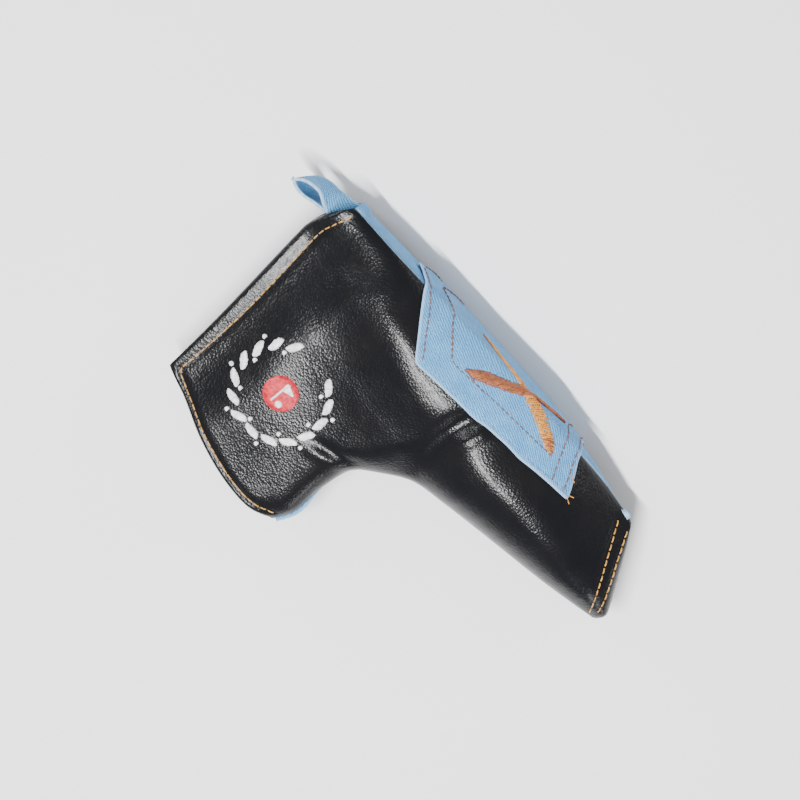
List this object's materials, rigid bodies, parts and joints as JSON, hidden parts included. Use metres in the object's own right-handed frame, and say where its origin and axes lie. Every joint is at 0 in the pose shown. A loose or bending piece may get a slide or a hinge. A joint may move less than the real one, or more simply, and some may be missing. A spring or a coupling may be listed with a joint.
{
  "type": "putter head cover",
  "caption": "Padded boot-shaped cover for a blade putter head: leather sides, denim sole, pocket patch, closure flap, open neck and hanging loop.",
  "frame": {"origin": "centre of the cover's outline on the surface that its far side lies on", "axes": "+X from toe to heel, +Y from the sole to the neck rim, +Z the outward normal of the near side"},
  "size_m": [0.2125, 0.1181, 0.0417],
  "materials": {
    "leather": "smooth-grained glossy synthetic leather",
    "foam": "closed-cell foam interlining",
    "lining": "short plush",
    "denim": "washed light blue twill",
    "hook_tape": "woven hook tape",
    "loop_tape": "brushed loop tape",
    "gold_thread": "twisted polyester thread",
    "denim_thread": "twisted polyester thread",
    "brown_thread": "satin embroidery thread",
    "amber_thread": "satin embroidery thread",
    "red_thread": "satin embroidery thread",
    "white_thread": "satin embroidery thread"
  },
  "bodies": {
    "root": {"near_panel": "leather", "far_panel": "leather", "near_foam": "foam", "far_foam": "foam", "sole_foam": "foam", "near_lining": "lining", "far_lining": "lining", "sole_lining": "lining", "sole_gusset": "denim", "pocket_patch": "denim", "neck_seam_strip": "denim", "loop_tape": "loop_tape", "opening_topstitch_far": "gold_thread", "toe_topstitch_near": "gold_thread", "toe_topstitch_far": "gold_thread", "patch_topstitch": "denim_thread", "cross_stroke_dark": "brown_thread", "cross_stroke_gold": "amber_thread", "crest_leaves_panel": "white_thread"},
    "closure_flap": {"near_flap_panel": "leather", "near_flap_foam": "foam", "near_flap_lining": "lining", "hook_tape": "hook_tape", "opening_topstitch_near": "gold_thread", "crest_roundel": "red_thread", "crest_leaves_flap": "white_thread"},
    "hanging_loop": {"loop_tab": "denim"}
  },
  "joints": [
    {"name": "closure_flap_fold", "type": "hinge", "parent": "root", "child": "closure_flap", "pos_m": [0.04335, 0.0021, 0.028], "axis": [0.5628, -0.8266, 0], "range_deg": [0, 60], "stiffness_Nm_per_rad": 0.05},
    {"name": "hanging_loop_flex", "type": "hinge", "parent": "root", "child": "hanging_loop", "pos_m": [0.0862, -0.0484, 0.016], "axis": [0, 0, 1], "range_deg": [-65, 30], "stiffness_Nm_per_rad": 0.01}
  ]
}
